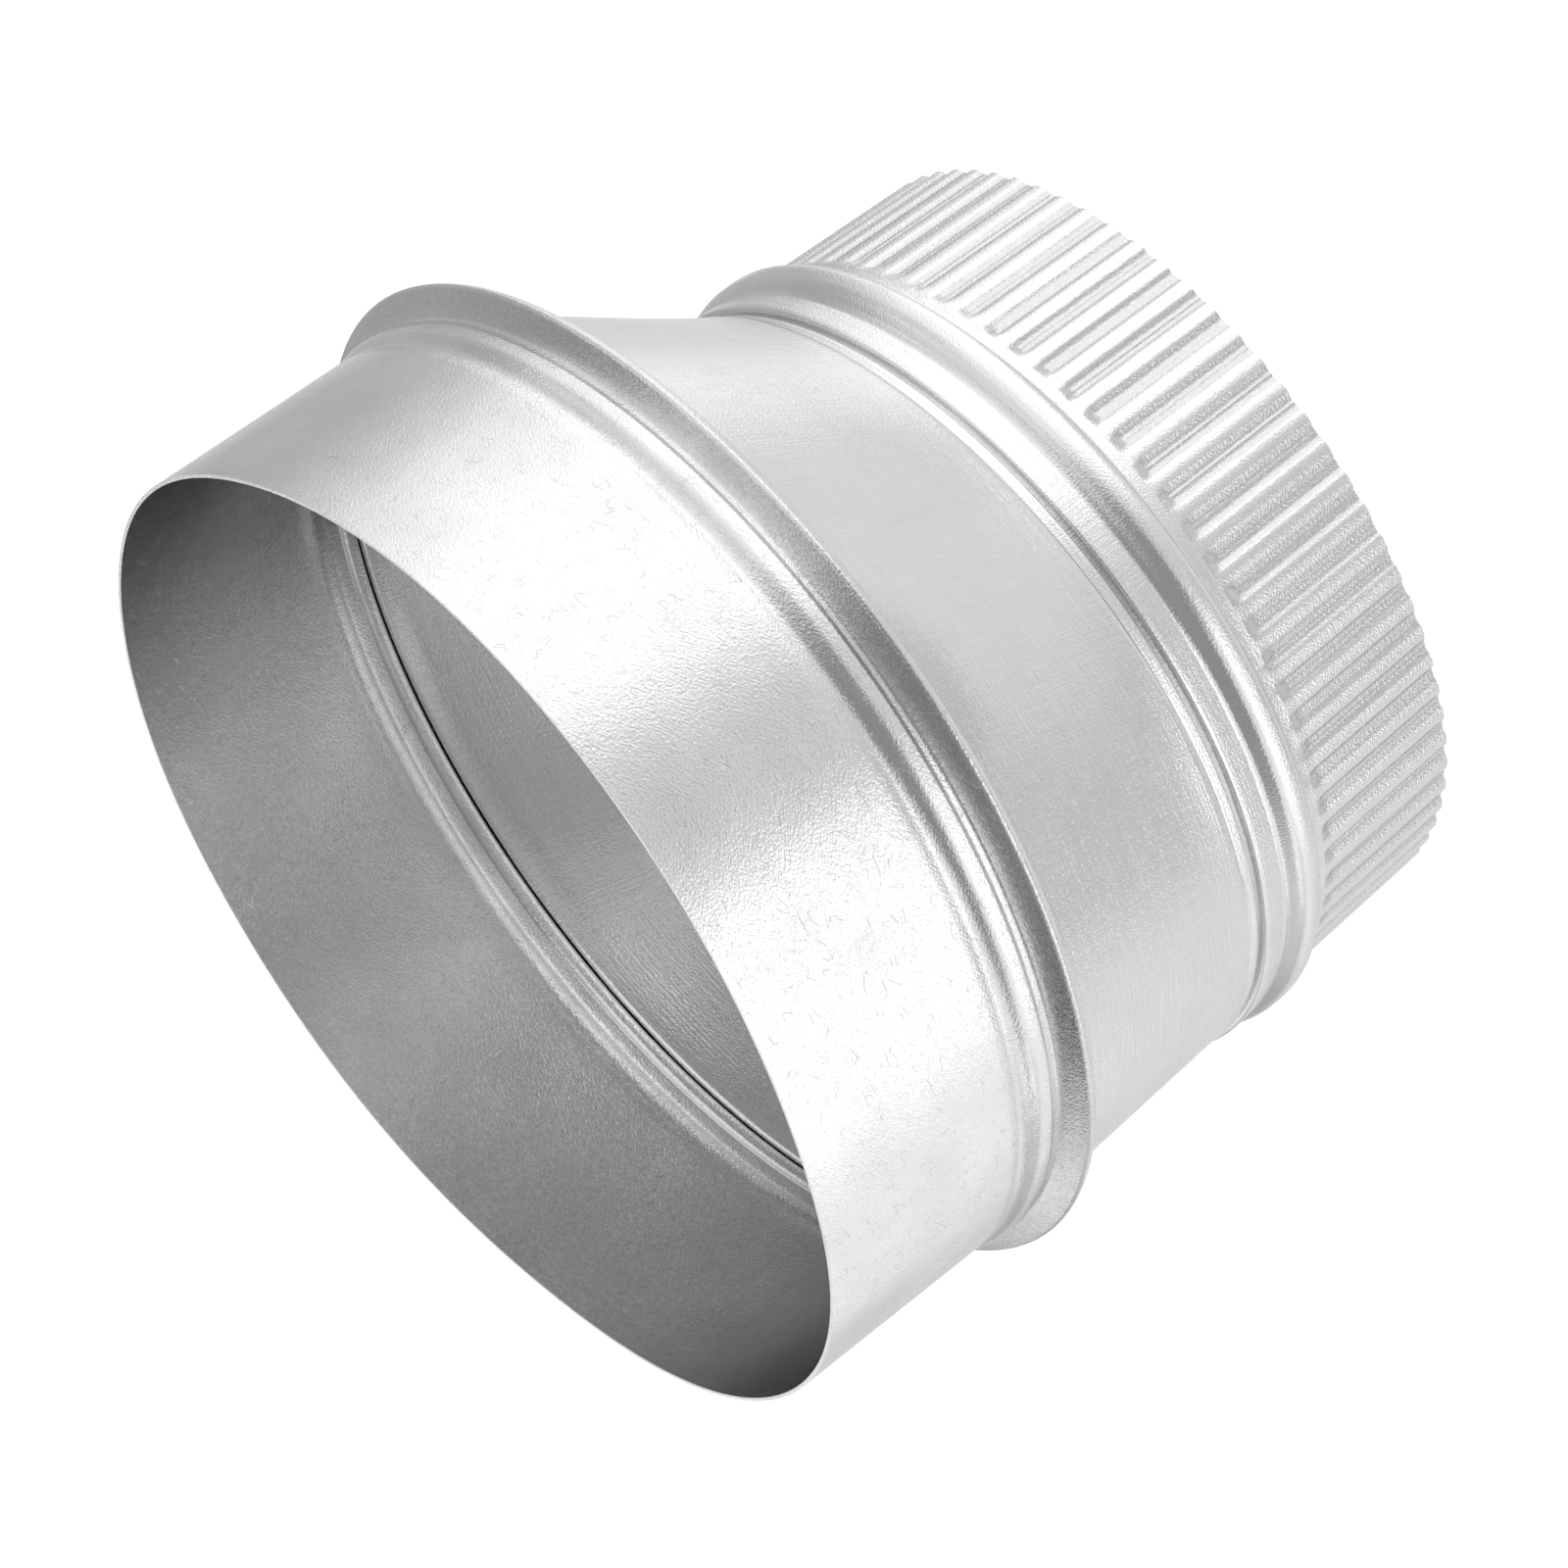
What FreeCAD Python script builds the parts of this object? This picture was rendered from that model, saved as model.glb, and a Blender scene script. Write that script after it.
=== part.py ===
import FreeCAD, Part
import math
import os

os.makedirs("parts", exist_ok=True)

# An off-centre duct reducer of three bent sheets, standing on its crimped end.
# Origin: on the plain collar's axis, in the plane of the crimped end. Millimetres, Z up.
# Radii are those of the outside of the sheet unless a name says otherwise.

# Sheet and the clearances between its layers
sheet = 0.55
seam_gap = 0.15
sleeve_gap = 0.05

# Collar for the large pipe, with a shallow dip and a ridge rolled in beside the seam
large_bore_radius = 76.2
plain_length = 34.2
dip_depth = 0.3
dip_rim_bend = 6.0
dip_floor_bend = 3.0
ridge_height = 0.7
ridge_foot_bend = 1.0
ridge_crown_bend = 0.9
ridge_to_seam = 0.2

# Folded seam round the large end, leaning towards the small end
seam_height = 4.25
seam_lean_angle = 24.0
collar_root_bend = 1.6
taper_root_bend = 0.5
hem_corner_bend = 0.7
hem_share = 0.8

# Taper
axis_offset = 10.9
taper_height = 37.4
lip_width = 1.3
lip_drop = 0.5

# Sleeve joint round the small end
sleeve_bore_radius = 63.5
band_width = 3.25
groove_bottom_bend = 0.35
groove_depth = 0.95
corner_bend = 0.65
neck_past_groove = 0.5

# Rolled bead between the sleeve joint and the crimps
bead_height = 1.55
bead_crown_bend = 3.2
bead_valley_bend = 2.6
bead_foot_bend = 3.8
valley_width = 0.3

# Crimps: the crests' radius is a drop below the neck at the bead, and a further drop at the end
crimp_count = 76
crimp_length = 26.6
crimp_runout = 1.5
crimp_root_drop = 0.75
crimp_end_drop = 1.1
crimp_depth = 0.65
crest_share = 0.65

steepest_wall_angle = 80.0
right_angle = 90.0


def step(height, first_bend, second_bend, side):
    """Moves that shift a path sideways by a height: a bend, a straight if needed, a bend back."""
    bends = first_bend + second_bend
    angle = math.radians(steepest_wall_angle)
    if height < bends * (1 - math.cos(angle)):
        angle = math.acos(1 - height / bends)
    straight = (height - bends * (1 - math.cos(angle))) / math.sin(angle)
    turn = side * math.degrees(angle)
    moves = [(first_bend, turn), (second_bend, -turn)]
    if straight > 1e-6:
        moves.insert(1, (straight, 0))
    return moves


def advance(moves):
    """How far a list of moves that starts upwards goes up in all."""
    heading = math.pi / 2
    level = 0.0
    for size, turn in moves:
        after = heading + math.radians(turn)
        if turn == 0:
            level += size * math.sin(heading)
        else:
            level += size * abs(math.cos(heading) - math.cos(after))
        heading = after
    return level


def bent_sheet(axis_x, start, heading, moves):
    """The sheet swept round its axis: the path runs along the outside, the sheet is on its left.

    A move is (length, 0) for a straight or (radius, degrees) for a bend, left turns positive.
    """
    outside = []
    inside = []
    x, z = start
    direction = math.radians(heading)

    def point(px, pz):
        return FreeCAD.Vector(axis_x + px, 0, pz)

    def offset(px, pz, angle, distance):
        return px - math.sin(angle) * distance, pz + math.cos(angle) * distance

    first = (point(x, z), point(*offset(x, z, direction, sheet)))
    for size, turn in moves:
        after = direction + math.radians(turn)
        if turn == 0:
            end = (x + size * math.cos(direction), z + size * math.sin(direction))
            outside.append(Part.LineSegment(point(x, z), point(*end)).toShape())
            near = point(*offset(x, z, direction, sheet))
            far = point(*offset(*end, after, sheet))
            inside.append(Part.LineSegment(near, far).toShape())
        else:
            side = math.copysign(1.0, turn)
            centre = offset(x, z, direction, side * size)
            middle = (direction + after) / 2
            for radius, edges in ((size, outside), (size - side * sheet, inside)):
                places = [point(*offset(*centre, angle, -side * radius)) for angle in (direction, middle, after)]
                edges.append(Part.Arc(*places).toShape())
            end = offset(*centre, after, -side * size)
        x, z = end
        direction = after
    last = (point(x, z), point(*offset(x, z, direction, sheet)))
    caps = [Part.LineSegment(*first).toShape(), Part.LineSegment(*last).toShape()]
    outline = Part.Wire(Part.__sortEdges__(outside + inside + caps))
    return Part.Face(outline).revolve(point(0, 0), FreeCAD.Vector(0, 0, 1), 360)


def frustum(low_radius, low_level, high_radius, high_level):
    """Solid between a circle on the small axis and a higher one on the large axis."""
    low = Part.makeCircle(low_radius, FreeCAD.Vector(-axis_offset, 0, low_level))
    high = Part.makeCircle(high_radius, FreeCAD.Vector(0, 0, high_level))
    return Part.makeLoft([Part.Wire(low), Part.Wire(high)], True, True)


def crimp_wire(level, radius, depth, inset):
    """One closed ring of crests and valleys, as tangent arcs, the inset inside the sheet's face."""
    half_pitch = math.pi * radius / crimp_count
    slope = 2 * math.atan(depth / half_pitch)
    shoulder_inwards = -crest_share * depth - inset * math.cos(slope)
    shoulder_along = crest_share * half_pitch - inset * math.sin(slope)

    def point(index, inwards, along):
        angle = (2 * math.pi * index + along * 2 * math.pi / (2 * half_pitch)) / crimp_count
        reach = radius + inwards
        return FreeCAD.Vector(reach * math.cos(angle) - axis_offset, reach * math.sin(angle), level)

    edges = []
    for index in range(crimp_count):
        rise = point(index, shoulder_inwards, -shoulder_along)
        fall = point(index, shoulder_inwards, shoulder_along)
        following = point(index + 1, shoulder_inwards, -shoulder_along)
        edges.append(Part.Arc(rise, point(index, -inset, 0), fall).toShape())
        edges.append(Part.Arc(fall, point(index, -depth - inset, half_pitch), following).toShape())
    return Part.Wire(edges)


def crimped_tube():
    """The crimped length, from the crimps' run-out down to the end edge."""
    slant = crimp_end_drop / crimp_length
    stations = []
    for below, part_depth in ((0, 0), (crimp_runout, 1), (crimp_length, 1)):
        stations.append((crimp_length - below, crimp_root_radius - slant * below, part_depth * crimp_depth))
    outer = [crimp_wire(*station, 0) for station in stations]
    inner = [crimp_wire(*station, sheet) for station in stations]
    faces = []
    for rings in (outer, inner):
        for upper, lower in zip(rings, rings[1:]):
            faces += Part.makeLoft([upper, lower], False, True).Faces
    for ring in (0, -1):
        faces.append(Part.Face([outer[ring], inner[ring]]))
    return Part.Solid(Part.Shell(faces))


# Levels upwards from the crimped end
neck_radius = sleeve_bore_radius - sleeve_gap
crimp_root_radius = neck_radius - crimp_root_drop
bead_rise = step(bead_height + crimp_root_drop, bead_foot_bend, bead_crown_bend, -1)
bead_fall = step(bead_height, bead_crown_bend, bead_valley_bend, 1)
band_level = crimp_length + advance(bead_rise) + advance(bead_fall) + valley_width

# The taper's locking groove, and the neck's groove pressed in under it
lip_radius = sleeve_bore_radius + sheet - lip_drop
groove_in = step(groove_depth + lip_drop, corner_bend, groove_bottom_bend, 1)
groove_out = step(groove_depth, groove_bottom_bend, corner_bend, -1)
groove_level = band_level + band_width + advance(groove_in)
neck_bottom_bend = groove_bottom_bend + sheet + sleeve_gap
neck_groove_in = step(groove_depth + lip_drop, corner_bend, neck_bottom_bend, 1)
neck_groove_out = step(groove_depth, neck_bottom_bend, corner_bend, -1)
neck_straight = groove_level - advance(neck_groove_in) - (band_level - valley_width)

# Crimped collar
neck_moves = bead_rise + bead_fall + [(neck_straight, 0)]
neck_moves += neck_groove_in + neck_groove_out + [(neck_past_groove, 0)]
neck = bent_sheet(-axis_offset, (crimp_root_radius, crimp_length), right_angle, neck_moves)
crimped_collar = crimped_tube().fuse(neck)

# Taper: sleeve and lip on the small axis, cone, flange on the large axis
sleeve_moves = [(band_width, 0)] + groove_in + groove_out + [(lip_width, 0)]
sleeve = bent_sheet(-axis_offset, (sleeve_bore_radius + sheet, band_level), right_angle, sleeve_moves)
crease_level = groove_level + advance(groove_out) + lip_width
taper_top = crease_level + taper_height
wall_radius = large_bore_radius + sheet
cone = frustum(lip_radius, crease_level, wall_radius, taper_top)
cone = cone.cut(frustum(lip_radius - sheet, crease_level, wall_radius - sheet, taper_top))

# The seam's layers lie along one leaning line, measured from the taper's root bend
lean = math.radians(seam_lean_angle)
along = FreeCAD.Vector(math.cos(lean), 0, -math.sin(lean))
across = FreeCAD.Vector(math.sin(lean), 0, math.cos(lean))
root = FreeCAD.Vector(wall_radius + taper_root_bend, 0, taper_top)
seam_middle = taper_root_bend + sheet / 2
seam_thickness = 3 * sheet + 2 * seam_gap
hem_flat = seam_thickness - 2 * hem_corner_bend
hem_radius = wall_radius + seam_height - hem_corner_bend - hem_flat / 2 * across.x
hem_distance = (hem_radius - root.x - seam_middle * across.x) / along.x
flange_moves = [(taper_root_bend, -right_angle - seam_lean_angle), (hem_distance - seam_gap, 0)]
flange = bent_sheet(0, (wall_radius, taper_top), right_angle, flange_moves)
taper = cone.fuse([sleeve, flange])

# Plain collar: hem round the flange, root bend, ridge, dip, plain wall
hem = root + across * seam_middle + along * hem_distance
hem_return = hem_share * hem_distance
start = hem - across * (seam_thickness / 2) - along * hem_return
bend_gap = taper_root_bend + 2 * sheet + seam_gap + collar_root_bend
bend_level = taper_top + (bend_gap + (taper_root_bend - collar_root_bend) * across.x) / across.z
bend_centre = FreeCAD.Vector(wall_radius + collar_root_bend, 0, bend_level)
front_length = (hem - bend_centre).dot(along)
hem_moves = [(hem_return, 0), (hem_corner_bend, right_angle), (hem_flat, 0), (hem_corner_bend, right_angle)]
collar_moves = hem_moves + [(front_length, 0), (collar_root_bend, seam_lean_angle - right_angle)]
collar_moves += [(ridge_to_seam, 0)]
collar_moves += step(ridge_height, ridge_foot_bend, ridge_crown_bend, -1)
collar_moves += step(ridge_height + dip_depth, ridge_crown_bend, ridge_foot_bend, 1)
collar_moves += step(dip_depth, dip_floor_bend, dip_rim_bend, -1) + [(plain_length, 0)]
plain_collar = bent_sheet(0, (start.x, start.z), -seam_lean_angle, collar_moves)

nodes = {"plain_collar": plain_collar, "taper": taper, "crimped_collar": crimped_collar}
for name, shape in nodes.items():
    shape.exportStep("parts/" + name + ".step")
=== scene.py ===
"""Looks for the duct reducer: three bent sheets of bright galvanised steel on a white table."""

import math

import bpy
import numpy as np
from mathutils import Matrix, Vector


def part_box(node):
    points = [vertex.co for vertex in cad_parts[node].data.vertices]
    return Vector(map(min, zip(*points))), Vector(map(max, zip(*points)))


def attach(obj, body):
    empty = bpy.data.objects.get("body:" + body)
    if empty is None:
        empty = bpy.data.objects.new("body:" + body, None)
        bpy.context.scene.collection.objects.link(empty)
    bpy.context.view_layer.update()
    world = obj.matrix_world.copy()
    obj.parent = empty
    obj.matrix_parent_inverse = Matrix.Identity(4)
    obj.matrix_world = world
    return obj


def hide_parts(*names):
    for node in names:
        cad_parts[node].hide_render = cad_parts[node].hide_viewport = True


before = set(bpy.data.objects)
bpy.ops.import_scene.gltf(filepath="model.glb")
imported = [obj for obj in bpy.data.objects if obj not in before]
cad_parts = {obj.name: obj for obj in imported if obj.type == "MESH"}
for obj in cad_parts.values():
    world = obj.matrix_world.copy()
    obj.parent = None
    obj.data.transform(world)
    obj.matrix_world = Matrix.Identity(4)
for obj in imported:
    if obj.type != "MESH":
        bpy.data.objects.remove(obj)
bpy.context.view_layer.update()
scene = bpy.context.scene
mm = 0.001

# Sizes of the sheets, in metres, in the part's own frame. Overall ones come from the frame.
collar_low, collar_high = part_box("plain_collar")
crimped_low, crimped_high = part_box("crimped_collar")
rim_level = collar_high.z
seam_radius = collar_high.x
bead_radius = (crimped_high.x - crimped_low.x) / 2
bead_height = 1.55 * mm
axis_offset = -(crimped_high.x + crimped_low.x) / 2
sheet = 0.55 * mm
seam_gap = 0.15 * mm
sleeve_gap = 0.05 * mm
seam_height = 4.25 * mm
wall_radius = seam_radius - seam_height
neck_radius = bead_radius - bead_height
band_radius = neck_radius + sleeve_gap + sheet
band_level = 36.03 * mm
band_width = 3.6 * mm
taper_top = 80.0 * mm
groove_depth = 0.95 * mm
lip_drop = 0.5 * mm
crimp_length = 26.6 * mm
crimp_root_drop = 0.75 * mm
crimp_end_drop = 1.1 * mm
crimp_root_radius = neck_radius - crimp_root_drop
crimp_end_radius = crimp_root_radius - crimp_end_drop
crimp_count = 76
crimp_depth = 0.65 * mm
seam_lean = 24.0
steepest_wall = 80.0
corner_spread = 0.1 * mm

# How far the two joints lean, as the photograph shows: slope of the sheet's level at each height,
# and how far its axis moves aside there
lean_heights = np.array([0, 36, 43, 79, 85, 123]) * mm
lean_slopes = np.array([0, 0.0145, 0.0145, -0.011, -0.012, -0.0165])
aside_heights = np.array([0, 38, 80, 123]) * mm
aside_moves = np.array([0.6, -0.2, -0.55, 0.7]) * mm

# The rim is a little out of round: cosine and sine of two, three and more waves round it
rim_waves = np.array([(-0.03, 0.35), (-0.16, -0.89), (0.35, -0.26),
                      (-0.04, -0.02), (-0.01, -0.06), (-0.01, 0.15)]) * mm
waves_start = 87 * mm

# How finely a section is cut: straights in metres, bends in degrees, and the turns round the axis
straight_cut = 2.5 * mm
fine_straight_cut = 0.7 * mm
bend_cut = 12
sleeve_bend_cut = 20
neck_bend_cut = 24
turns_round = 720
sharp_edge = math.radians(40)


def step(height, first_bend, second_bend, side):
    """Moves that shift a path sideways: a bend, a straight if needed, a bend back."""
    bends = first_bend + second_bend
    angle = math.radians(steepest_wall)
    if height < bends * (1 - math.cos(angle)):
        angle = math.acos(1 - height / bends)
    straight = (height - bends * (1 - math.cos(angle))) / math.sin(angle)
    turn = side * math.degrees(angle)
    moves = [(first_bend, turn), (second_bend, -turn)]
    if straight > 1e-9:
        moves.insert(1, (straight, 0))
    return moves


def section(start, heading, moves, spacing, bend_step):
    """Outside and inside lines of a bent sheet, as (radius, height) rows.

    The path runs along the outside and the sheet is on its left. A straight
    is cut at even spacing and a bend every few degrees. The inside line is the outside one moved
    square to the path by the sheet's thickness. Where a left bend is tighter than the sheet is
    thick, the inside's straights meet in a corner, with the bend's rows close beside it.
    """
    outside = [np.array([start])]
    direction = math.radians(heading)
    inside = [outside[0] + sheet * np.array([-math.sin(direction), math.cos(direction)])]
    for size, turn in moves:
        here = outside[-1][-1]
        left = np.array([-math.sin(direction), math.cos(direction)])
        if turn == 0:
            count = max(1, math.ceil(size / spacing))
            along = np.linspace(0, size, count + 1)[1:, None]
            line = here + along * np.array([math.cos(direction), math.sin(direction)])
            outside.append(line)
            inside.append(line + sheet * left)
        else:
            side = math.copysign(1.0, turn)
            count = max(2, math.ceil(abs(turn) / bend_step))
            angles = direction + np.linspace(0, math.radians(turn), count + 1)[1:]
            normals = np.stack([-np.sin(angles), np.cos(angles)], 1)
            centre = here + side * size * left
            outside.append(centre - side * size * normals)
            line = centre - (side * size - sheet) * normals
            if side > 0 and size < sheet:
                after = direction + math.radians(turn)
                into = np.array([math.cos(direction), math.sin(direction)])
                away = np.array([math.cos(after), math.sin(after)])
                meeting = here + sheet * left - (sheet - size) * math.tan(math.radians(turn) / 2) * into
                share = np.linspace(-1, 1, count + 1)[:, None] * corner_spread
                line = meeting + np.minimum(share, 0) * into + np.maximum(share, 0) * away
                inside[-1][-1] = line[0]
                line = line[1:]
            inside.append(line)
            direction += math.radians(turn)
    return np.vstack(outside), np.vstack(inside)


def swept_sheet(name, outside, inside, centres, around, shift, wear_and_painted_light):
    """Closed mesh swept round an upright axis, with a UV map and a mask of places of wear and of painted
    light and shade.

    Outside and inside are (radius, height) rows, centres the axis's x for each row. The place at
    turn t is (centre + radius cos t, radius sin t, height); around lists the turns from the back
    on, as parts of a whole turn. shift(turn, radius, height) adds to the radius and the height.
    The last argument, a function of turn, radius and height, is 0 on plain zinc, 1 or a little more
    where rubbing has made it dull and where shade is painted, and below 0 where light is painted.

    The lean of the joints moves each place aside, and up by its distance from the axis times the
    slope at its height. The UV map is in millimetres: u runs round the axis at the wall's radius,
    v along the section.
    """
    ring = np.vstack([outside, inside[::-1]])
    middle = np.concatenate([centres, centres[::-1]])[:, None]
    turn = np.pi / 2 + 2 * np.pi * around[None, :]
    radius = np.repeat(ring[:, :1], len(around), 1)
    height = np.repeat(ring[:, 1:], len(around), 1)
    more_radius, more_height = shift(turn, radius, height)
    wear_light_and_shade = wear_and_painted_light(turn, radius, height)
    radius = radius + more_radius
    slope = np.interp(height, lean_heights, lean_slopes)
    x = radius * np.cos(turn)
    z = height + more_height + slope * x
    x = x + middle + np.interp(height, aside_heights, aside_moves)
    places = np.stack([x, radius * np.sin(turn), z], -1)
    rows, columns = radius.shape
    index = np.arange(rows * columns).reshape(rows, columns)
    down = np.roll(index, -1, 0)
    quads = np.stack([index, np.roll(index, -1, 1), np.roll(down, -1, 1), down], -1).reshape(-1, 4)
    mesh = bpy.data.meshes.new(name)
    mesh.from_pydata(places.reshape(-1, 3), [], quads)
    mesh.update()
    mesh.shade_smooth()
    mesh.set_sharp_from_angle(angle=sharp_edge)
    closed = np.vstack([ring, ring[:1]])
    cuts = np.hypot(*np.diff(closed, axis=0).T)
    lengths = np.concatenate([[0], np.cumsum(cuts)]) / mm
    rounds = np.append(around, around[0] + 1) * 2 * np.pi * wall_radius / mm
    u = np.stack([rounds[:-1], rounds[1:], rounds[1:], rounds[:-1]], -1)[None].repeat(rows, 0)
    v = np.stack([lengths[:-1], lengths[:-1], lengths[1:], lengths[1:]], -1)[:, None].repeat(columns, 1)
    uv = mesh.uv_layers.new(name="sheet")
    uv.data.foreach_set("uv", np.stack([u, v], -1).astype(np.float32).ravel())
    # Mask of rubbing and of painted light and shade, for the material
    mask = mesh.attributes.new("wear_light_and_shade", "FLOAT", "POINT")
    mask.data.foreach_set("value", np.broadcast_to(wear_light_and_shade, radius.shape).astype(np.float32).ravel())
    piece = bpy.data.objects.new(name, mesh)
    scene.collection.objects.link(piece)
    return piece


even_turns = np.linspace(0, 1, turns_round, endpoint=False)


def facing(turn):
    """Angle from the camera's side, growing towards -X, from -pi to pi."""
    return (-np.pi / 2 - turn + np.pi) % (2 * np.pi) - np.pi


def bell(value, middle, width):
    """Smooth bump of height 1 round a middle: the exponential of minus the square of the distance."""
    return np.exp(-(((value - middle) / width) ** 2))


def smooth(value):
    """0 below 0, 1 above 1 and a smooth S between."""
    value = np.clip(value, 0, 1)
    return value * value * (3 - 2 * value)


# Plain collar: the hem's inner leaf, the hem, the seam's front, ridge, dip and wall
hem_share = 0.8
ridge_to_seam = 0.5 * mm
ridge_height = 0.75 * mm
ridge_foot_bend = 0.4 * mm
ridge_crown_bend = 0.8 * mm
ridge_crown = 1.4 * mm
ridge_far_bends = (2.4 * mm, 3.0 * mm)
dip_depth = 0.3 * mm
dip_bends = (3.0 * mm, 6.0 * mm)
lean = math.radians(seam_lean)
along = np.array([math.cos(lean), -math.sin(lean)])
across = np.array([math.sin(lean), math.cos(lean)])
taper_bend = 0.3 * mm
collar_bend = 0.7 * mm
corner = 0.7 * mm
thickness = 3 * sheet + 2 * seam_gap
root = np.array([wall_radius + taper_bend, taper_top])
middle_out = taper_bend + sheet / 2
hem_radius = seam_radius - corner - (thickness / 2 - corner) * across[0]
hem_distance = (hem_radius - root[0] - middle_out * across[0]) / along[0]
hem = root + across * middle_out + along * hem_distance
hem_return = hem_share * hem_distance
bend_gap = taper_bend + 2 * sheet + seam_gap + collar_bend
bend_level = taper_top + (bend_gap + (taper_bend - collar_bend) * across[0]) / across[1]
front = float((hem - np.array([wall_radius + collar_bend, bend_level])) @ along)
leaf_start = hem - across * (thickness / 2) - along * hem_return
collar_moves = [(hem_return, 0), (corner, 90), (thickness - 2 * corner, 0), (corner, 90), (front, 0)]
collar_moves += [(collar_bend, seam_lean - 90), (ridge_to_seam, 0)]
collar_moves += step(ridge_height, ridge_foot_bend, ridge_crown_bend, -1) + [(ridge_crown, 0)]
collar_moves += step(ridge_height + dip_depth, *ridge_far_bends, 1) + step(dip_depth, *dip_bends, -1)


def rim_shape(turn, radius, height):
    """Out of round from the ridge up to the rim: waves round the collar, growing with the height."""
    angle = facing(turn)
    waves = sum(c * np.cos(k * angle) + s * np.sin(k * angle) for k, (c, s) in enumerate(rim_waves, 2))
    grown = np.clip((height - waves_start) / (rim_level - waves_start), 0, 1)
    return waves * grown, np.zeros_like(height)


def ridge_wear_light_and_shade(turn, radius, height):
    """The rolls rub the ridge; shade is painted on the seam's front, and on the inside on the side towards
    -X.

    Light is painted on the inside, lighter than elsewhere, on the side towards +X. Each of the two places
    is the exponential of 3.5 or 4 times (cos(angle from its middle) - 1), on the inside alone and fading
    in above the ridge.
    """
    ridge_level, seam_level = 87.5 * mm, 80.5 * mm
    inside_start, inside_full = 84 * mm, 90 * mm
    shade_middle = 2.35
    light_middle = -1.85
    within = smooth((wall_radius - 0.3 * sheet - radius) / (0.4 * sheet))
    within = within * smooth((height - inside_start) / (inside_full - inside_start))
    # Painted shade inside towards -X, painted light inside towards +X
    inside_shade = 0.55 * np.exp(3.5 * (np.cos(facing(turn) - shade_middle) - 1))
    inside_light = 0.9 * np.exp(4 * (np.cos(facing(turn) - light_middle) - 1))
    ridge = 0.25 * bell(height, ridge_level, 1.2 * mm)
    # Painted shade on the seam's front
    seam = 0.5 * bell(height, seam_level, 1.5 * mm)
    return ridge + seam + (inside_shade - inside_light) * within


dip_end = section(leaf_start, -seam_lean, collar_moves, straight_cut, bend_cut)[0][-1][1]
collar_moves.append((rim_level - dip_end, 0))
outside, inside = section(leaf_start, -seam_lean, collar_moves, straight_cut, bend_cut)
plain_collar = swept_sheet("collar_sheet", outside, inside, np.zeros(len(outside)), even_turns,
                           rim_shape, ridge_wear_light_and_shade)

# Taper: sleeve and lip on the small axis, cone, flange on the large axis
sleeve_corner_bend = 0.35 * mm
groove_bottom_bend = 0.3 * mm
lip_width = 1.55 * mm
sleeve_moves = [(band_width, 0)]
sleeve_moves += step(groove_depth + lip_drop, sleeve_corner_bend, groove_bottom_bend, 1)
sleeve_moves += step(groove_depth, groove_bottom_bend, sleeve_corner_bend, -1) + [(lip_width, 0)]
low_out, low_in = section((band_radius, band_level), 90, sleeve_moves, fine_straight_cut, sleeve_bend_cut)
flange_moves = [(taper_bend, -90 - seam_lean), (hem_distance - seam_gap, 0)]
high_out, high_in = section((wall_radius, taper_top), 90, flange_moves, straight_cut, bend_cut)
crease_level = low_out[-1][1]
# Rows up the cone, as parts of its height: close together by the crease
between = np.concatenate([[0.004, 0.008, 0.014, 0.022, 0.032, 0.045, 0.065], np.linspace(0.09, 0.3, 6),
                          np.linspace(0.3, 1, 11)[1:-1]])[:, None]
cone_out = low_out[-1] + between * (high_out[0] - low_out[-1])
cone_in = low_in[-1] + between * (high_in[0] - low_in[-1])
centres = np.concatenate([np.full(len(low_out), -axis_offset), -axis_offset * (1 - between[:, 0]),
                          np.zeros(len(high_out))])
swell_height = 1.15 * mm
swell_rise = 0.35 * mm
swell_fade = 4.6 * mm
burr_height = 0.05 * mm


def joint_lean(height):
    """The sleeve and the neck in it narrow a little towards the sleeve's cut edge."""
    heights = np.array([32.5, 35.2, 36, 39.2]) * mm
    narrowing = np.array([0, -0.27, -0.3, 0]) * mm
    return np.interp(height, heights, narrowing)


def taper_shape(turn, radius, height):
    """A swell above the crease, steep below and soft above, and a cut edge that wanders a little.

    The swell is on the camera's side and towards the steep side, and dies away beyond.
    """
    distance = np.maximum(height - crease_level, 0)
    swell = swell_height * (1 - np.exp(-distance / swell_rise)) * np.exp(-distance / swell_fade)
    swell = swell * smooth((0.95 - facing(turn)) / 0.5) * smooth((facing(turn) + 1.7) / 0.6)
    burr = burr_height * (np.cos(23 * turn) * np.cos(61 * turn + 1) + 0.6 * np.cos(140 * turn + 2))
    edge = burr * (height < band_level + 0.1 * mm)
    return swell + joint_lean(height), edge


def taper_shade(turn, radius, height):
    """Painted shade below the seam, most of all on the camera's side."""
    camera_side_shade = 1.3 * bell(facing(turn), 0.11, 0.13) * bell(height, 76 * mm, 4 * mm)
    return 0.5 * bell(height, taper_top - 1 * mm, 2 * mm) * (height < taper_top) + camera_side_shade


outside = np.vstack([low_out, cone_out, high_out])
inside = np.vstack([low_in, cone_in, high_in])
taper = swept_sheet("taper_sheet", outside, inside, centres, even_turns, taper_shape, taper_shade)


def wander(turn):
    """How far the crimps are off even spacing at a turn, in radians: a sum of slow cosines."""
    return sum(0.003 * np.cos(k * turn + 1.7 * k * k) for k in (3, 4, 6, 7))


def crimp_place(turn):
    """Distance from the nearest crest's middle, in pitches from 0 to a half, and its number."""
    phase = crimp_count * (turn + wander(turn)) / (2 * np.pi)
    number = np.floor(phase + 0.5)
    return np.abs(phase - number), number % crimp_count


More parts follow.
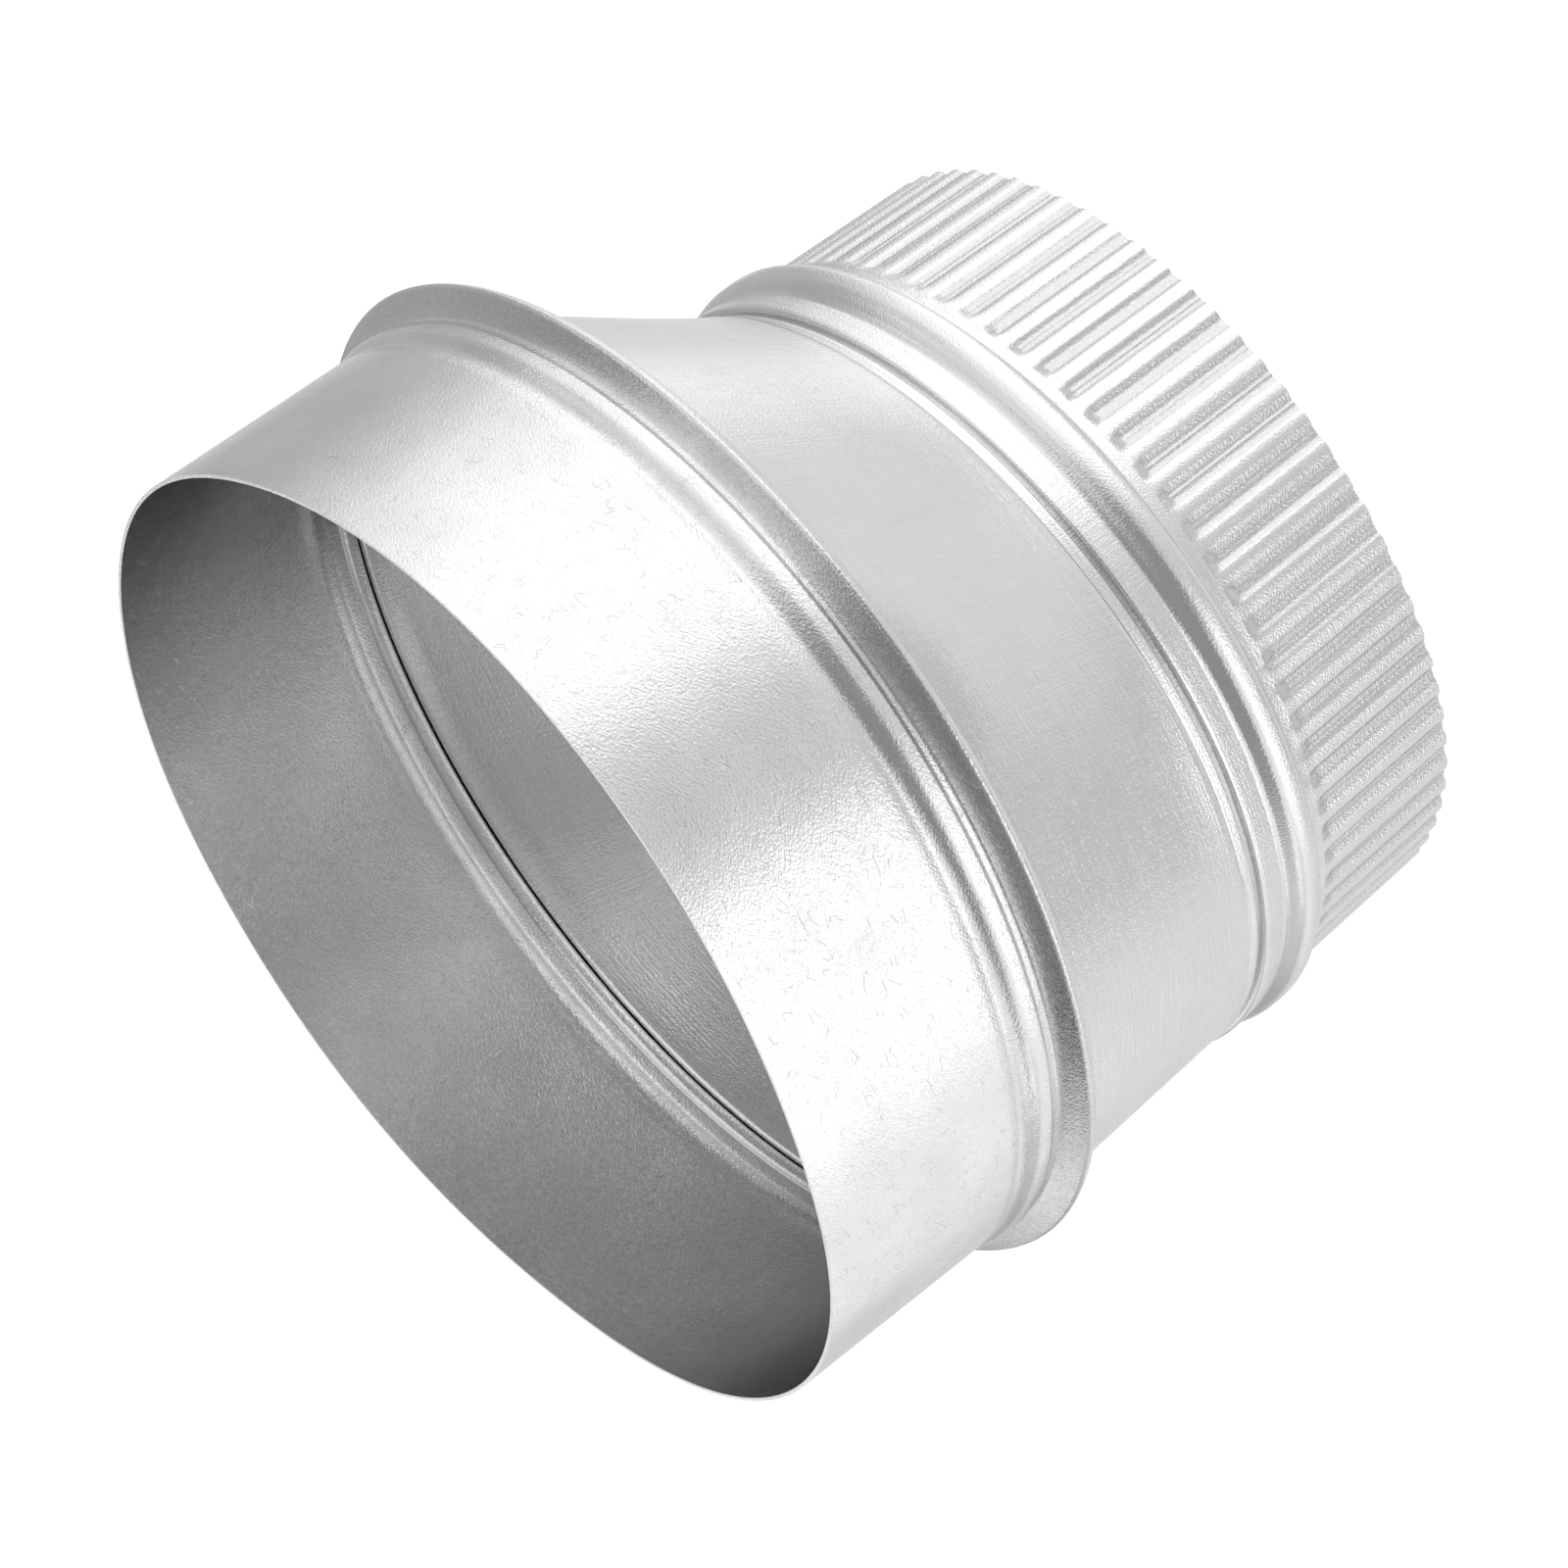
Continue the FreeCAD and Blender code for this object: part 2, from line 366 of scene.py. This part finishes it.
def crimps(turn, radius, height):
    """Broad crests and narrow flat valleys with a fine ridge in each, fading out at the bead.

    The drop from the crest's line is a shallow arc, then a steep S down to the valley's floor.
    Each crimp has its own depth and starts at its own height, from sines of its number.
    """
    crest_end, wall_start, wall_width = 0.26, 0.2, 0.19
    place, number = crimp_place(turn)
    uneven = 0.5 * np.sin(number * 12.9898) + 0.5 * np.sin(number * 4.1414)
    arc = 0.35 * np.minimum(place / crest_end, 1) ** 2
    wall = 0.65 * smooth((place - wall_start) / wall_width)
    ridge = 0.1 * bell(place, 0.5, 0.03)
    start = crimp_length + 0.35 * mm * uneven
    fade = smooth((start - height) / (2.2 * mm))
    drop = crimp_depth * (arc + wall - ridge) * (1 + 0.12 * uneven) * fade
    return joint_lean(height) - drop, np.zeros_like(height)


def crimp_scuffs_and_shade(turn, radius, height):
    """The crimping wheel rubs the valleys' sides and floors, and shade is painted there as well."""
    place, _ = crimp_place(turn)
    return 1.05 * smooth((place - 0.18) / 0.14) * (height < crimp_length)


# Crimped collar: the crimps, a plain strip, the bead, and the neck with its own locking groove
plain_strip = 1.5 * mm
bead_foot_bends = (0.9 * mm, 1.6 * mm)
bead_crown = 1.8 * mm
bead_far_bends = (2.4 * mm, 1.5 * mm)
bead_to_groove = 3.3 * mm
neck_corner_bend = 0.65 * mm
neck_bottom_bend = 0.95 * mm
neck_past_groove = 0.5 * mm
neck_moves = [(plain_strip, 0)] + step(bead_height + crimp_root_drop, *bead_foot_bends, -1)
neck_moves += [(bead_crown, 0)] + step(bead_height, *bead_far_bends, 1) + [(bead_to_groove, 0)]
neck_moves += step(groove_depth + lip_drop, neck_corner_bend, neck_bottom_bend, 1)
neck_moves += step(groove_depth, neck_bottom_bend, neck_corner_bend, -1) + [(neck_past_groove, 0)]
neck_out, neck_in = section((crimp_root_radius, crimp_length), 90, neck_moves, straight_cut, neck_bend_cut)
stations = np.concatenate([np.linspace(0, crimp_length - 3 * mm, 4),
                           np.linspace(crimp_length - 2.4 * mm, crimp_length - 0.2 * mm, 5)])
crest_line = np.stack([crimp_end_radius + crimp_end_drop * stations / crimp_length, stations], 1)
outside = np.vstack([crest_line, neck_out])
inside = np.vstack([crest_line - np.array([sheet, 0]), neck_in])
# More columns where a crimp's side drops; the pitches start a quarter turn on, at the back
half = np.array([0, 0.13, 0.21, 0.27, 0.33, 0.39, 0.46])
pitch_places = np.concatenate([half, [0.5], 1 - half[:0:-1]])
places_round = (crimp_count / 4 + np.arange(crimp_count)[:, None] + pitch_places).ravel() / crimp_count
crimp_turns = places_round - 0.25 - wander(2 * np.pi * places_round) / (2 * np.pi)
crimped_collar = swept_sheet("crimped_sheet", outside, inside, np.full(len(outside), -axis_offset),
                             crimp_turns, crimps, crimp_scuffs_and_shade)


def add(tree, kind, inputs=(), **settings):
    """New node with its settings; each input is a value or another node's output to link."""
    node = tree.nodes.new(kind)
    for name, value in settings.items():
        setattr(node, name, value)
    for name, value in dict(inputs).items():
        if isinstance(value, bpy.types.NodeSocket):
            tree.links.new(value, node.inputs[name])
        else:
            node.inputs[name].default_value = value
    return node


def math_node(tree, operation, first, second=0.5, third=0.5):
    """Output of a Math node."""
    return add(tree, "ShaderNodeMath", {0: first, 1: second, 2: third}, operation=operation).outputs[0]


def zinc_group():
    """Group with the marks of bright zinc: grain, short strokes, brushing, scratches, soft blotches."""
    group = bpy.data.node_groups.new("zinc marks", "ShaderNodeTree")
    for name in ("Grain", "Strokes", "Brushing", "Scratches", "Blotches", "Wear and painted light"):
        group.interface.new_socket(name, in_out="INPUT", socket_type="NodeSocketFloat")
    group.interface.new_socket("Vector", in_out="INPUT", socket_type="NodeSocketVector")
    for name in ("Tone", "Roughness", "Height"):
        group.interface.new_socket(name, in_out="OUTPUT", socket_type="NodeSocketFloat")
    given = group.nodes.new("NodeGroupInput").outputs

    def noise(length, width, detail, turn=0.0, shift=0.0):
        """Noise about zero whose features have a length and a width in millimetres, turned."""
        place = {"Vector": given["Vector"], "Location": (shift, shift * 0.7, 0),
                 "Rotation": (0, 0, turn), "Scale": (length, width, 1)}
        placed = add(group, "ShaderNodeMapping", place, vector_type="TEXTURE").outputs[0]
        node = add(group, "ShaderNodeTexNoise", {"Vector": placed, "Scale": 1.0, "Detail": detail},
                   noise_dimensions="2D")
        return math_node(group, "SUBTRACT", node.outputs[0], 0.5)

    def weighted(pairs):
        """Sum of amounts times values."""
        total = 0.0
        for amount, value in pairs:
            total = math_node(group, "MULTIPLY_ADD", amount, value, total)
        return total

    grain = noise(0.42, 0.42, 2)
    strokes = math_node(group, "ADD", noise(1.5, 0.25, 1, 0.6, 40), noise(1.3, 0.25, 1, -0.5, 90))
    brushing = math_node(group, "ADD", noise(14, 0.35, 1, 0, 470), noise(0.35, 9, 1, 0, 510))
    blotches = noise(16, 16, 3, shift=200)
    scratches = 0.0
    for length, place, turn in ((4.5, 300, 0.3), (2.5, 420, 1.6)):
        line = math_node(group, "ABSOLUTE", noise(length, length * 0.45, 0, turn, place))
        line = math_node(group, "SUBTRACT", 1.0, math_node(group, "DIVIDE", line, 0.01))
        kept = math_node(group, "MULTIPLY_ADD", noise(2.5, 2.5, 0, shift=place + 33), 14.0, -1.6)
        line = add(group, "ShaderNodeClamp", {"Value": line}).outputs[0]
        kept = add(group, "ShaderNodeClamp", {"Value": kept}).outputs[0]
        scratches = math_node(group, "MULTIPLY_ADD", line, kept, scratches)
    height = weighted([(math_node(group, "MULTIPLY", given["Grain"], 0.045), grain),
                       (math_node(group, "MULTIPLY", given["Strokes"], 0.03), strokes),
                       (math_node(group, "MULTIPLY", given["Brushing"], 0.04), brushing),
                       (math_node(group, "MULTIPLY", given["Scratches"], -0.02), scratches),
                       (math_node(group, "MULTIPLY", given["Blotches"], 0.14), blotches)])
    # The tone drops with the wear input, where rubbing has made the zinc dull and where shade is painted,
    # and rises where it is below 0, which is painted light.
    wear_and_light_pattern = math_node(group, "ADD", strokes, 0.45)
    tone = weighted([(math_node(group, "MULTIPLY", given["Blotches"], 0.75), blotches),
                     (math_node(group, "MULTIPLY", given["Grain"], 0.12), grain),
                     (math_node(group, "MULTIPLY", given["Brushing"], 0.3), brushing),
                     (math_node(group, "MULTIPLY", given["Scratches"], -0.5), scratches),
                     (math_node(group, "MULTIPLY", given["Wear and painted light"], -1.6), wear_and_light_pattern)])
    rough = weighted([(math_node(group, "MULTIPLY", given["Blotches"], -0.12), blotches),
                      (math_node(group, "MULTIPLY", given["Grain"], 0.06), grain)])
    out = group.nodes.new("NodeGroupOutput")
    group.links.new(math_node(group, "ADD", tone, 0.5), out.inputs["Tone"])
    group.links.new(rough, out.inputs["Roughness"])
    group.links.new(height, out.inputs["Height"])
    return group


marks = zinc_group()


def zinc(name, dark, light, roughness, amounts):
    """Bright zinc on steel: the marks' tone mixes two greys, their height goes to a bump.

    The amounts are those of strokes, brushing, scratches and blotches.
    """
    material = bpy.data.materials.new(name)
    material.use_nodes = True
    tree = material.node_tree
    shader = tree.nodes["Principled BSDF"]
    uv = add(tree, "ShaderNodeUVMap", uv_map="sheet").outputs[0]
    # The sheet's mask of rubbing and of painted light and shade: more grain there, a darker tone above 0
    # and a lighter one below 0.
    wear_light_and_shade = add(tree, "ShaderNodeAttribute", attribute_name="wear_light_and_shade").outputs["Fac"]
    grain_amount = math_node(tree, "MULTIPLY_ADD", wear_light_and_shade, 0.6, 1.0)
    node = add(tree, "ShaderNodeGroup", node_tree=marks)
    for key, value in {"Vector": uv, "Grain": grain_amount, "Wear and painted light": wear_light_and_shade}.items():
        tree.links.new(value, node.inputs[key])
    for key, value in zip(("Strokes", "Brushing", "Scratches", "Blotches"), amounts):
        node.inputs[key].default_value = value
    # Of the Mix node's sockets, 6 and 7 are the colours and output 2 is the mixed colour
    mix = add(tree, "ShaderNodeMix", {0: node.outputs["Tone"], 6: (*dark, 1), 7: (*light, 1)},
              data_type="RGBA")
    tree.links.new(mix.outputs[2], shader.inputs["Base Color"])
    tree.links.new(math_node(tree, "ADD", node.outputs["Roughness"], roughness), shader.inputs["Roughness"])
    bump = add(tree, "ShaderNodeBump", {"Height": node.outputs["Height"], "Distance": mm, "Strength": 1.0})
    tree.links.new(bump.outputs[0], shader.inputs["Normal"])
    shader.inputs["Metallic"].default_value = 1.0
    return material


pale = (0.96, 0.962, 0.965)
dull = (0.67, 0.673, 0.678)
sheen = 0.16
collar_zinc = zinc("collar zinc", dull, pale, sheen, (1.0, 0.1, 1.0, 0.9))
taper_zinc = zinc("taper zinc", dull, pale, sheen, (0.4, 0.7, 0.3, 0.4))
crimped_zinc = zinc("crimped zinc", dull, pale, sheen, (0.6, 0.2, 0.2, 0.4))
for piece, node, slot, finish in ((plain_collar, "plain_collar", "collar_steel", collar_zinc),
                                  (taper, "taper", "taper_steel", taper_zinc),
                                  (crimped_collar, "crimped_collar", "crimped_steel", crimped_zinc)):
    piece.data.materials.append(finish)
    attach(piece, "root")
    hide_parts(node)

# Studio. The photographed part lies on its side and this one stands, so in this frame some of the
# photograph's lamps are below the table. The table shows to the camera alone.
centre = Vector((0, 0, 0.06))
lamp_reach = 1.1
card_reach = 1.4 * lamp_reach


def direction_to(azimuth, elevation):
    """Unit vector; the azimuth is seen from the camera's side and grows towards -X."""
    turn, rise = math.radians(azimuth), math.radians(elevation)
    return Vector((-math.sin(turn) * math.cos(rise), -math.cos(turn) * math.cos(rise), math.sin(rise)))


def window(azimuths, elevations, distance):
    """Middle direction of a window of directions, and its half width and half height at a distance."""
    azimuth, elevation = sum(azimuths) / 2, sum(elevations) / 2
    half_angle = math.radians((azimuths[1] - azimuths[0]) / 2)
    half_rise = math.radians((elevations[1] - elevations[0]) / 2)
    half_width = distance * math.cos(math.radians(elevation)) * math.tan(half_angle)
    return direction_to(azimuth, elevation), half_width, distance * math.tan(half_rise)


def softbox(name, azimuths, elevations, radiance):
    """A rectangular lamp that fills a window of directions, as bright all over."""
    way, half_width, half_height = window(azimuths, elevations, lamp_reach)
    width, height = 2 * half_width, 2 * half_height
    data = bpy.data.lights.new(name, "AREA")
    data.shape = "RECTANGLE"
    data.size, data.size_y = width, height
    data.energy = radiance * math.pi * width * height
    lamp = bpy.data.objects.new(name, data)
    lamp.location = centre + way * lamp_reach
    lamp.rotation_mode = "QUATERNION"
    lamp.rotation_quaternion = way.to_track_quat("Z", "Y")
    lamp.visible_camera = False
    scene.collection.objects.link(lamp)


softbox("upper softbox", (-72, -16), (-48, 22), 0.54)
softbox("left foot lamp", (-128, -76), (-58, -30), 0.3)
softbox("upper softbox wing", (-96, -72), (-48, 22), 0.30)
softbox("upper softbox top", (-100, -20), (22, 46), 0.42)
softbox("high lamp", (-110, -20), (46, 74), 0.55)
softbox("right softbox", (24, 84), (-30, -2), 0.66)
softbox("right softbox top", (27, 106), (-2, 22), 0.56)
softbox("side lamp", (84, 132), (-26, -2), 0.3)
softbox("back lamp", (140, 190), (10, 40), 0.5)
softbox("back lamp top", (153, 190), (40, 58), 0.6)
softbox("side lamp top", (92, 134), (2, 40), 0.25)


def card(name, azimuths, elevations, grey):
    """A grey card: a flat rectangle that only reflections see."""
    way, width, height = window(azimuths, elevations, card_reach)
    corners = [(-width, -height, 0), (width, -height, 0), (width, height, 0), (-width, height, 0)]
    facing_in = way.to_track_quat("Z", "Y").to_matrix().to_4x4()
    place = Matrix.Translation(centre + way * card_reach) @ facing_in
    mesh = bpy.data.meshes.new(name)
    mesh.from_pydata([place @ Vector(corner) for corner in corners], [], [(0, 1, 2, 3)])
    material = bpy.data.materials.new(name)
    material.use_nodes = True
    tree = material.node_tree
    tree.nodes.remove(tree.nodes["Principled BSDF"])
    glow = add(tree, "ShaderNodeEmission", {"Color": (grey, grey, grey, 1)})
    tree.links.new(glow.outputs[0], tree.nodes["Material Output"].inputs["Surface"])
    mesh.materials.append(material)
    piece = bpy.data.objects.new(name, mesh)
    piece.visible_camera = False
    piece.visible_shadow = False
    piece.visible_diffuse = False
    scene.collection.objects.link(piece)


card("low grey card", (8, 88), (-54, -30), 0.6)
card("left grey card", (-156, -114), (-29, 8), 0.5)
card("back dark card", (126, 150), (42, 60), 0.1)
card("back dark card above", (126, 196), (60, 84), 0.1)
card("dark card", (-10, 72), (-2, 46), 0.3)

# The pale room: its strength below, at the level of the part and above, and how far the top is dimmed
room_below = 0.79
room_level = 0.44
top_dimmed = 0.16
world = bpy.data.worlds.new("studio")
scene.world = world
world.use_nodes = True
tree = world.node_tree
background = tree.nodes["Background"]
direction = add(tree, "ShaderNodeTexCoord").outputs["Generated"]
up = add(tree, "ShaderNodeSeparateXYZ", {0: direction}).outputs["Z"]
rising = {"Value": up, "From Min": -0.5, "From Max": 0.0, "To Min": room_below, "To Max": room_level}
room = add(tree, "ShaderNodeMapRange", rising, interpolation_type="SMOOTHSTEP").outputs[0]
dimming = {"Value": up, "From Min": 0.4, "From Max": 0.95, "To Min": 0.0, "To Max": top_dimmed}
dim = add(tree, "ShaderNodeMapRange", dimming, interpolation_type="SMOOTHSTEP").outputs[0]
room = math_node(tree, "SUBTRACT", room, dim)
# The camera, and rays through glass, see white; mirrored rays see the pale room, others an even grey
path = add(tree, "ShaderNodeLightPath")
white = math_node(tree, "MAXIMUM", path.outputs["Is Camera Ray"], path.outputs["Is Transmission Ray"])
mirrored = math_node(tree, "SUBTRACT", room, room_level)
mirrored = math_node(tree, "MULTIPLY", mirrored, path.outputs["Is Glossy Ray"])
seen = math_node(tree, "MAXIMUM", math_node(tree, "ADD", mirrored, room_level), white)
tree.links.new(seen, background.inputs["Strength"])
background.inputs["Color"].default_value = (1, 1, 1, 1)

# The table: white to the camera, with a faint shadow of the part
table_mesh = bpy.data.meshes.new("table")
half_table = 4.0
table_corners = [(-half_table, -half_table, 0), (half_table, -half_table, 0),
                 (half_table, half_table, 0), (-half_table, half_table, 0)]
table_mesh.from_pydata(table_corners, [], [(0, 1, 2, 3)])
table = bpy.data.objects.new("table", table_mesh)
scene.collection.objects.link(table)
table_white = bpy.data.materials.new("table white")
table_white.use_nodes = True
tree = table_white.node_tree
shader = tree.nodes["Principled BSDF"]
shader.inputs["Base Color"].default_value = (0.4, 0.4, 0.4, 1)
shader.inputs["Roughness"].default_value = 0.9
shader.inputs["Emission Color"].default_value = (1, 1, 1, 1)
path = add(tree, "ShaderNodeLightPath")
glow = math_node(tree, "MULTIPLY", path.outputs["Is Camera Ray"], 0.85)
tree.links.new(glow, shader.inputs["Emission Strength"])
table_mesh.materials.append(table_white)
table.visible_glossy = False
table.visible_diffuse = False
table.visible_shadow = False

# Camera: a long lens, rolled so that the standing part fills the frame as in the photograph
camera_azimuth = 0.5128
camera_elevation = 23.0006
camera_roll = -126.574
focal_in_pixels = 7300
image_width = 1600
sensor_width = 36.0
camera_data = bpy.data.cameras.new("camera")
camera_data.sensor_width = sensor_width
camera_data.lens = sensor_width * focal_in_pixels / image_width
camera = bpy.data.objects.new("camera", camera_data)
scene.collection.objects.link(camera)
turn, rise = math.radians(camera_azimuth), math.radians(camera_elevation)
back = Vector((math.sin(turn) * math.cos(rise), -math.cos(turn) * math.cos(rise), math.sin(rise)))
roll = Matrix.Rotation(math.radians(camera_roll), 3, "Z").to_quaternion()
camera.rotation_mode = "QUATERNION"
camera.rotation_quaternion = back.to_track_quat("Z", "Y") @ roll
camera.location = Vector((0.0, -0.9369, 0.46755))
scene.camera = camera
scene.view_settings.view_transform = "Standard"
